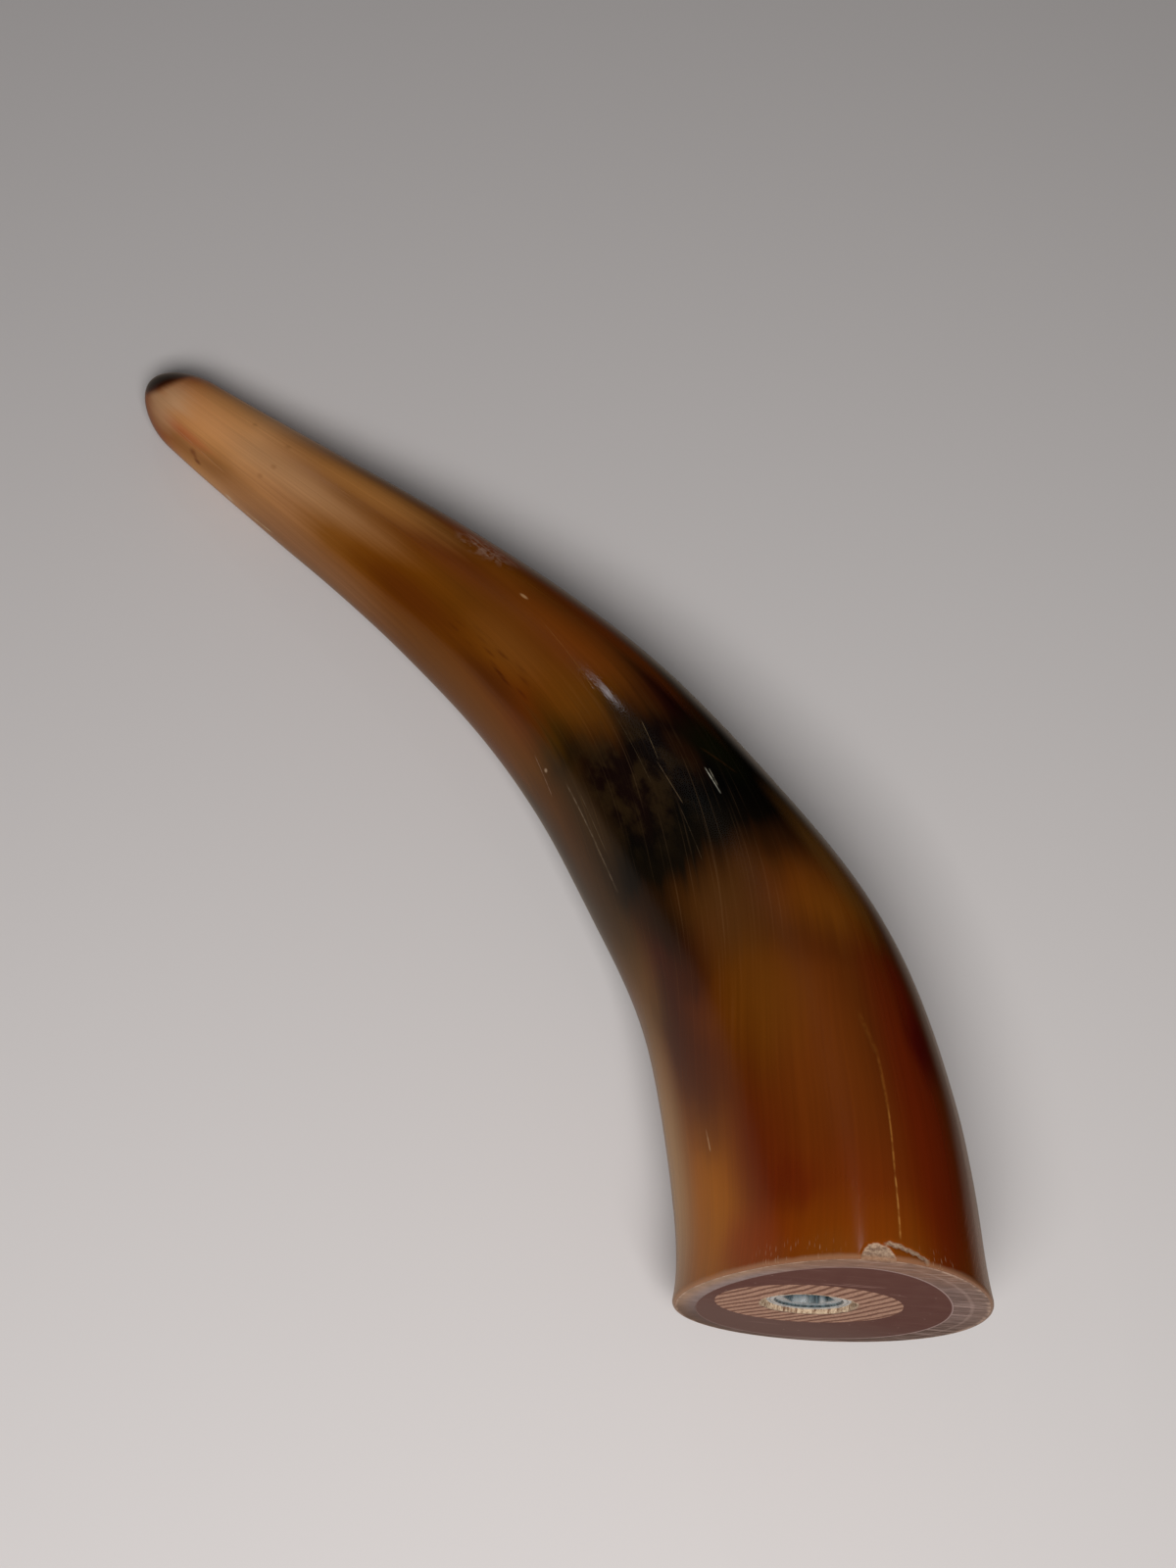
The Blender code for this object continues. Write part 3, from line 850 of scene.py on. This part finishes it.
def horn_skin():
    """The whole horn: hollow, cut face, rim, outside and tip, walked from end to end."""
    turns = horn_turn_steps()
    degrees = np.degrees(turns)
    rows, straight, across, broken = [], [], [], []

    def keep(points, distance, width, height, wall, worn=None):
        rows.append(points)
        straight.append(np.stack([width * np.cos(turns), height * np.sin(turns),
                                  np.full_like(turns, distance)], axis=1))
        across.append(np.full_like(turns, wall))
        broken.append(np.zeros_like(turns) if worn is None else worn)

    hollow = [HOLLOW_DEPTH * math.sin(0.5 * math.pi * k / 12) for k in range(12, -1, -1)]
    for distance in hollow:
        width, height = hollow_size(distance, 0.0)
        points, _ = section(distance, width, height, turns, HOLLOW_SHIFT_X, HOLLOW_SHIFT_Z)
        keep(points, distance, max(width, 1e-9), max(height, 1e-9), 0.0)
    mouth = rows[-1]

    rim = [RIM_RADIUS * (1.0 - math.cos(math.radians(a))) for a in (0, 22, 45, 67, 90)]
    near = list(np.arange(1.05, 6.01, 0.25) * MM)
    base = list(np.arange(6.6, 30.0, 0.75) * MM)
    body = list(np.arange(30.0, LENGTH / MM - TIP_ROUNDING / MM, 0.95) * MM)
    last = LENGTH - TIP_ROUNDING
    cap = [last + TIP_ROUNDING * math.sin(math.radians(a)) for a in np.linspace(0, 90, 19)]
    outside = []
    for distance in rim + near + base + body + cap:
        width, height = outer_size(distance)
        points, middle = section(distance, width, height, turns)
        worn = np.zeros_like(turns)
        for index, around in enumerate(degrees):
            along = distance / MM
            cut, amount = chip_depth(along, around) if along < 6.0 and 60 < around < 112 else (0, 0)
            spoke = points[index] - middle
            reach = max(1e-9, float(np.linalg.norm(spoke)))
            wave = UNEVENNESS * rough(*(points[index] / MM), 0.045, 2)
            wave *= smooth_step(0.0, 8.0, along)
            wave *= smooth_step(LENGTH / MM, LENGTH / MM - 14.0, along)
            points[index] = points[index] + spoke / reach * (wave - cut) * MM
            worn[index] = amount
        outside.append((points, distance, width, height, worn))

    lip = outside[0][0]
    for part in np.linspace(0.0, 1.0, 14)[1:-1]:
        keep(mouth + (lip - mouth) * part, 0.0, 1.0, 1.0, part)
    for points, distance, width, height, worn in outside:
        keep(points, distance, max(width, 1e-9), max(height, 1e-9), 1.0, worn)

    shape = rolled_skin(np.array(rows), {"straight": np.array(straight),
                                         "across": np.array(across), "broken": np.array(broken)})
    wall = shape.verts.layers.float["across"]
    for face in shape.faces:
        if min(corner[wall] for corner in face.verts) < 0.999:
            face.material_index = 1
    return shape


# name: from across, from up, to across, to up, half width, all in millimetres, and strength
RESIN_SCRATCHES = (
    ("long_scratch", -1.5, 19.4, 9.5, 18.9, 0.30, 0.55),
    ("long_scratch_beside", 2.0, 20.6, 11.0, 19.4, 0.26, 0.45),
    ("short_scratch", 12.0, 14.5, 16.0, 13.0, 0.25, 0.30),
    ("low_scratch", -8.0, -21.0, -1.0, -22.0, 0.25, 0.25),
)


def resin_finish():
    """Maroon filler, sanded flush, with dust specks, scratches and a pale seam at the wall."""
    material, bench, shader = new_material("dark_resin")
    face = face_plane(bench)
    x, _, z = bench.split(face)
    edge = bench.attribute("across")
    mottle = bench.ease(bench.clouds(face, 260.0, 4.0), 0.35, 0.65)
    colour = bench.blend(mottle, lightened_for_shade(69, 21, 14), lightened_for_shade(73, 30, 22))
    greyer = bench.ease(bench.times_plus(x, 0.7, z), 0.004, -0.026)
    colour = bench.cover(colour, greyer, 0.8, lightened_for_shade(82, 56, 50))
    lines = bench.group(SANDING, {"Face": face, "Fineness": 2200.0, "Run": 70.0})["Lines"]
    lines = bench.ease(lines, 0.52, 0.74, 0.0, 0.18)
    colour = bench.blend(lines, colour, lightened_for_shade(140, 104, 98))
    sideways, up = bench.times(x, 1000.0), bench.times(z, 1000.0)
    for name, *ends, width, strength in RESIN_SCRATCHES:
        mask = scratch_of(bench, sideways, up, ends, width, name)
        colour = bench.cover(colour, mask, strength, paint(190, 150, 138))
    specks = dashes_of(bench, face, 330.0, 330.0, 0.10)
    colour = bench.cover(colour, specks, 0.6, paint(196, 168, 158))
    seam = bench.ease(edge, 0.958, 0.982)
    clearer_outside = bench.ease(x, -0.02, 0.016, 0.25, 0.75)
    colour = bench.cover(colour, seam, clearer_outside, paint(176, 150, 144))
    bench.feed(shader.inputs["Base Color"], colour)
    shader.inputs["Roughness"].default_value = 0.5
    return material


def resin_skin():
    """Filler in the hollow, with a round pocket for the plug."""
    turns = even_turns(160)
    pocket = PLUG_RADIUS + CLOSE_FIT
    depth = PLUG_LENGTH + CLOSE_FIT
    rows = list(turned([(0.0, depth), (pocket, depth), (pocket, 0.0)], turns))
    width, height = hollow_size(0.0, CLOSE_FIT)
    rim, _ = section(0.0, width, height, turns, HOLLOW_SHIFT_X, HOLLOW_SHIFT_Z)
    across = [np.zeros_like(turns)] * 3
    for part in np.linspace(0.0, 1.0, 25)[1:]:
        rows.append(rows[2] + (rim - rows[2]) * part)
        across.append(np.full_like(turns, part))
    for k in range(1, 13):
        distance = HOLLOW_DEPTH * math.sin(0.5 * math.pi * k / 12)
        width, height = hollow_size(distance, CLOSE_FIT)
        ring, _ = section(distance - 2.0 * CLOSE_FIT * (k == 12), max(0.0, width),
                          max(0.0, height), turns, HOLLOW_SHIFT_X, HOLLOW_SHIFT_Z)
        rows.append(ring)
        across.append(np.ones_like(turns))
    return rolled_skin(np.array(rows), {"across": np.array(across)})


# from the heart of the tree, where the rings' middle is, to the plug's middle
HEART_OF_THE_TREE = (0.087, 0.0, -0.050)


def wood_finish():
    """Pinkish wood seen end on, with curved rings and torn cream fibres round the insert."""
    material, bench, shader = new_material("pale_wood")
    torn = bench.attribute("torn")
    face = face_plane(bench)
    rings = bench.add("ShaderNodeTexWave", {
        "Vector": bench.stretch(face, (1.0, 0.15, 1.0), HEART_OF_THE_TREE),
        "Scale": 125.0, "Distortion": 2.5, "Detail": 2.0, "Detail Scale": 0.9,
        "Detail Roughness": 0.6}, wave_type="RINGS", rings_direction="Y")
    late = bench.ease(rings.outputs["Fac"], 0.35, 0.95)
    colour = bench.blend(late, lightened_for_shade(147, 111, 92), lightened_for_shade(100, 65, 50))
    fine = bench.clouds(bench.stretch(face, (2600.0, 300.0, 700.0)), 1.0, 3.0)
    colour = bench.shade(colour, bench.ease(fine, 0.3, 0.7, 0.84, 1.14))
    shreds = bench.clouds(bench.stretch(face, (1700.0, 500.0, 1100.0)), 1.0, 4.0, 0.7)
    cream = bench.blend(bench.ease(shreds, 0.34, 0.60), paint(120, 84, 62), paint(216, 190, 160))
    colour = bench.blend(bench.ease(torn, 0.25, 0.75), colour, cream)
    bench.feed(shader.inputs["Base Color"], colour)
    bench.relief(shader, bench.times(shreds, bench.times_plus(torn, 0.5, 0.03)))
    shader.inputs["Roughness"].default_value = 0.75
    return material


def plug_skin():
    """Round plug with a stepped blind bore. The mouth of the step is torn out wider."""
    turns = even_turns(192)
    rows = list(turned([(0.0, PLUG_BORE_DEPTH), (PLUG_BORE_RADIUS, PLUG_BORE_DEPTH),
                        (PLUG_BORE_RADIUS, COUNTERBORE_DEPTH),
                        (COUNTERBORE_RADIUS, COUNTERBORE_DEPTH)], turns))
    torn = [np.zeros_like(turns)] * 4
    mouth = []
    for turn in turns:
        x, z = math.cos(turn), math.sin(turn)
        ragged = rough(x, z, 1.7, 2.2, 4)
        splinter = rough(x, z, 5.3, 9.0, 2)
        mouth.append(TORN_MOUTH_RADIUS + 0.00028 * ragged + 0.00016 * splinter)
    mouth = np.array(mouth)
    mouth[-1] = mouth[0]

    def add(radius, depth, value):
        radius = np.broadcast_to(radius, turns.shape)
        depth = np.broadcast_to(depth, turns.shape)
        rows.append(np.stack([radius * np.cos(turns), depth, radius * np.sin(turns)], axis=1))
        torn.append(np.full_like(turns, value))

    for part in np.linspace(0.0, 1.0, 7)[1:]:
        radius = COUNTERBORE_RADIUS + (mouth - COUNTERBORE_RADIUS) * part ** 1.6
        wobble = np.array([0.00018 * rough(math.cos(turn), math.sin(turn), part * 3.0, 5.0)
                           for turn in turns]) * (1.0 - part) * part * 4.0
        wobble[-1] = wobble[0]
        add(radius + wobble, COUNTERBORE_DEPTH * (1.0 - part) ** 1.3, 1.0)
    for part in np.linspace(0.0, 1.0, 26)[1:]:
        add(mouth + (PLUG_RADIUS - mouth) * part, 0.0, 0.5 if part < 0.05 else 0.0)
    add(PLUG_RADIUS, PLUG_LENGTH, 0.0)
    add(0.0, PLUG_LENGTH, 0.0)
    return rolled_skin(np.array(rows), {"torn": np.array(torn)})


# the socket's colours are painted shade and painted glints, not the plate's own colour
PLATE_GREY = (0.62, 0.67, 0.69, 1.0)
PLATE_BRIGHT = (0.86, 0.89, 0.90, 1.0)
SOCKET_SHADE_DARK = (0.020, 0.045, 0.055, 1.0)
SOCKET_GLINT = (0.16, 0.23, 0.26, 1.0)


def insert_finish():
    """Bright zinc plate, with painted shade inside the socket: darker and bluish, streaked with painted
    glints.
    """
    material, bench, shader = new_material("zinc_plate")
    face = face_plane(bench)
    cloud = bench.clouds(face, 700.0, 3.0)
    drawn = bench.clouds(bench.stretch(face, (1500.0, 120.0, 1500.0)), 1.0, 3.0)
    plate = bench.blend(bench.ease(cloud, 0.35, 0.65), PLATE_GREY, PLATE_BRIGHT)
    painted_socket_shade = bench.blend(bench.ease(drawn, 0.42, 0.62), SOCKET_SHADE_DARK, SOCKET_GLINT)
    # the shade attribute blends the painted shade of the socket into the bright plate
    bench.feed(shader.inputs["Base Color"], bench.blend(bench.attribute("shade"), painted_socket_shade, plate))
    shader.inputs["Metallic"].default_value = 0.6
    bench.feed(shader.inputs["Roughness"], bench.ease(cloud, 0.3, 0.7, 0.16, 0.30))
    return material


def hexagon(turns, across_flats):
    """Radius of a hexagon at every turn."""
    sixth = math.pi / 3.0
    return 0.5 * across_flats / np.cos(np.mod(turns, sixth) - 0.5 * sixth)


def insert_skin():
    """Flanged insert: dished flange, hexagon socket, machine thread inside and a coarse one outside."""
    turns = even_turns(144)
    top = INSERT_RECESS
    dish = top + DISH_DEPTH
    under = top + FLANGE_THICKNESS
    end = top + INSERT_LENGTH
    rows, shade = [], []

    def add(radius, depth, value=1.0):
        radius = np.broadcast_to(radius, turns.shape)
        rows.append(np.stack([radius * np.cos(turns), np.full_like(turns, depth),
                              radius * np.sin(turns)], axis=1))
        shade.append(value * np.ones_like(turns))

    # the shade of each ring is painted: 0 is painted shade down the socket and its thread, 1 is the
    # bright plate
    socket = hexagon(turns, HEX_ACROSS_FLATS)
    socket_end = top + HEX_DEPTH
    for depth in np.linspace(end - 0.0004, socket_end + 0.0006, 96):
        lead = np.mod(turns / (2.0 * math.pi) + depth / MACHINE_PITCH, 1.0)
        add(THREAD_RADIUS + 0.00055 * np.abs(2.0 * lead - 1.0), depth, 0.0)
    add(0.00400, socket_end + 0.0001, 0.0)
    add(socket - 0.0001, socket_end, 0.0)
    add(socket, socket_end - 0.0001, 0.0)
    # the socket's mouth flares out, with painted glints low down and at the sides
    add(socket, dish + 0.0018, 0.0)
    mouth = hexagon(turns, SOCKET_MOUTH)
    degrees = np.degrees(turns)
    worn = sum(strength * np.exp(-((degrees - middle) / spread) ** 2)
               for middle, spread, strength in PAINTED_GLINTS)
    worn[-1] = worn[0]
    add(socket, dish + 0.0009, 0.7 * worn)
    add(mouth - 0.0001, dish + 0.0003, worn)
    add(mouth, dish, np.maximum(0.25, worn))
    add(mouth + 0.0003, dish, 0.75)
    add(DISH_RADIUS - 0.0004, dish - 0.0001, 0.95)
    # a dark ring of painted shade in the groove at the dish's rim
    add(DISH_RADIUS - 0.0002, dish - 0.0001, 0.1)
    add(DISH_RADIUS, top + 0.00005, 0.1)
    add(DISH_RADIUS + 0.0002, top)
    add(FLANGE_RADIUS - 0.0009, top)
    # painted shade in a shallow groove of the flange
    add(FLANGE_RADIUS - 0.0007, top + 0.00012, 0.3)
    add(FLANGE_RADIUS - 0.0005, top)
    add(FLANGE_RADIUS - 0.0003, top)
    add(FLANGE_RADIUS - 0.0001, top + 0.0001)
    add(FLANGE_RADIUS, top + 0.0003)
    add(FLANGE_RADIUS, under - 0.0002)
    add(FLANGE_RADIUS - 0.0002, under)
    add(INSERT_RADIUS - 0.0006, under)
    for depth in np.linspace(under + 0.0004, end - 0.0006, 60):
        lead = np.mod(turns / (2.0 * math.pi) + depth / COARSE_PITCH, 1.0)
        ridge = np.clip(1.0 - np.abs(2.0 * lead - 1.0) * 2.2, 0.0, 1.0)
        add(INSERT_RADIUS - 0.0008 + 0.0008 * ridge, depth)
    add(INSERT_RADIUS - 0.0012, end)
    add(THREAD_RADIUS + 0.0005, end)
    rows.append(rows[0])
    shade.append(shade[0])
    return rolled_skin(np.array(rows), {"shade": np.array(shade)})


def build_pieces():
    finish_piece("horn_polished", horn_skin(), [horn_finish(), sawn_finish()], "horn")
    finish_piece("resin_fine", resin_skin(), [resin_finish()], "resin_fill")
    finish_piece("plug_fine", plug_skin(), [wood_finish()], "wood_plug")
    finish_piece("insert_fine", insert_skin(), [insert_finish()], "threaded_insert")


# ------------------------------------------------------------ the room

# table colours: a little lighter on the right as painted light, and a darker, warmer painted shade for
# the table as the horn mirrors it
TABLE_LEFT = (0.605, 0.568, 0.555, 1.0)
TABLE_RIGHT = (0.665, 0.624, 0.607, 1.0)
TABLE_MIRRORED = (0.335, 0.27, 0.225, 1.0)
# the card's glow is a painted reflection of the table in shade
CARD_GLOW = (0.145, 0.118, 0.095, 1.0)
BLACK = (0.0, 0.0, 0.0, 1.0)
AIR = (0.93, 0.96, 1.0, 1.0)
AIR_MIRRORED = (0.55, 0.40, 0.16, 1.0)
# distance along the horn and the card's gap from its side, in millimetres
CARD_GAPS = ((-20, 42), (0, 40), (25, 34), (50, 24), (70, 20), (110, 18), (150, 17), (200, 15),
             (254, 14))
CARD_HEIGHTS = (0.3, 20.0, 45.0, 90.0)
WINDOW_TOWARD = Vector((-0.2219, 0.6577, 0.7198))
WINDOW_SPOT = Vector((0.0106, 0.0212, 0.0435))
WINDOW_DISTANCE = 1.6
CAMERA_PLACE = (-0.02618, -0.11798, 0.44266)
CAMERA_TURN = (16.3277, -6.0786, 4.0754)
CAMERA_LENS = 49.5


def floor():
    """Pale, slightly glossy table, painted a little lighter towards the right, and painted darker and
    warmer where the horn mirrors it.
    """
    shape = bmesh.new()
    bmesh.ops.create_grid(shape, x_segments=4, y_segments=4, size=3.0)
    material, bench, shader = new_material("pale_table")
    x, _, _ = bench.split(bench.add("ShaderNodeTexCoord").outputs["Object"])
    # painted light: a little lighter towards the right
    colour = bench.blend(bench.ease(x, -0.16, 0.18), TABLE_LEFT, TABLE_RIGHT)
    # painted shade: mirrored rays see the table darker and warmer
    mirrored = bench.add("ShaderNodeLightPath").outputs["Is Glossy Ray"]
    bench.feed(shader.inputs["Base Color"], bench.blend(mirrored, colour, TABLE_MIRRORED))
    shader.inputs["Roughness"].default_value = 0.38
    table = placed("floor", shape, [material])


def shade_card():
    """Low card bent round the outside of the bend, glowing dimly at its foot and black higher up: a
    painted reflection of the shaded table, seen only mirrored in the polish.
    """
    distances, widths = zip(*CARD_GAPS)
    steps = np.linspace(distances[0], distances[-1], 60)
    line = []
    for step, gap in zip(steps, np.interp(steps, distances, widths)):
        distance = max(step, 0.0) * MM
        x, y, heading = centreline(distance)
        side = outer_size(min(distance, LENGTH - TIP_ROUNDING))[0] + gap * MM
        point = Vector((x + side * math.cos(heading), y + side * math.sin(heading), 0.0))
        point.y += min(step, 0.0) * MM
        line.append(LAY @ point)
    rows = [[(point.x, point.y, height * MM) for point in line] for height in CARD_HEIGHTS]
    material, bench, shader = new_material("shade_card")
    _, _, height = bench.split(bench.add("ShaderNodeTexCoord").outputs["Object"])
    # painted reflection: the glow fades to black higher up
    fading = bench.ease(height, 0.008, 0.028)
    bench.feed(shader.inputs["Emission Color"], bench.blend(fading, CARD_GLOW, BLACK))
    shader.inputs["Emission Strength"].default_value = 1.0
    shader.inputs["Base Color"].default_value = BLACK
    shader.inputs["Roughness"].default_value = 1.0
    card = placed("shade_card", rolled_skin(np.array(rows), {}), [material])
    card.visible_camera = False
    card.visible_diffuse = False
    card.visible_shadow = False


def lamp(name, place, target, size, power, colour=(1.0, 1.0, 1.0), mirrored=True):
    """Soft rectangular light that faces a point."""
    data = bpy.data.lights.new(name, "AREA")
    data.shape = "RECTANGLE"
    data.size, data.size_y = size
    data.energy = power
    data.color = colour
    made = bpy.data.objects.new(name, data)
    made.location = place
    made.rotation_euler = (Vector(target) - Vector(place)).to_track_quat("-Z", "Y").to_euler()
    made.visible_glossy = mirrored
    made.visible_camera = False
    bpy.context.scene.collection.objects.link(made)


def light_the_room():
    """Soft overhead light, one small window and dim air that looks warmer in the polish."""
    world = bpy.data.worlds.new("room")
    world.use_nodes = True
    bench = Bench(world.node_tree)
    air = world.node_tree.nodes["Background"].inputs
    mirrored = bench.add("ShaderNodeLightPath").outputs["Is Glossy Ray"]
    bench.feed(air["Color"], bench.blend(mirrored, AIR, AIR_MIRRORED))
    air["Strength"].default_value = 0.085
    bpy.context.scene.world = world
    lamp("overhead", (-0.04, -0.34, 0.60), (0.0, -0.42, 0.0), (0.36, 0.30), 4.95, mirrored=False)
    window = WINDOW_SPOT + WINDOW_TOWARD * WINDOW_DISTANCE
    lamp("window", window, WINDOW_SPOT, (0.06, 0.06), 0.22, (0.92, 0.94, 1.0))


def camera():
    data = bpy.data.cameras.new("camera")
    data.lens = CAMERA_LENS
    data.sensor_width = 36.0
    data.clip_start = 0.01
    made = bpy.data.objects.new("camera", data)
    made.location = CAMERA_PLACE
    made.rotation_euler = Euler([math.radians(a) for a in CAMERA_TURN], "XYZ")
    bpy.context.scene.collection.objects.link(made)
    bpy.context.scene.camera = made


camera()
floor()
shade_card()
light_the_room()
build_pieces()
bpy.context.scene.view_settings.view_transform = "Standard"
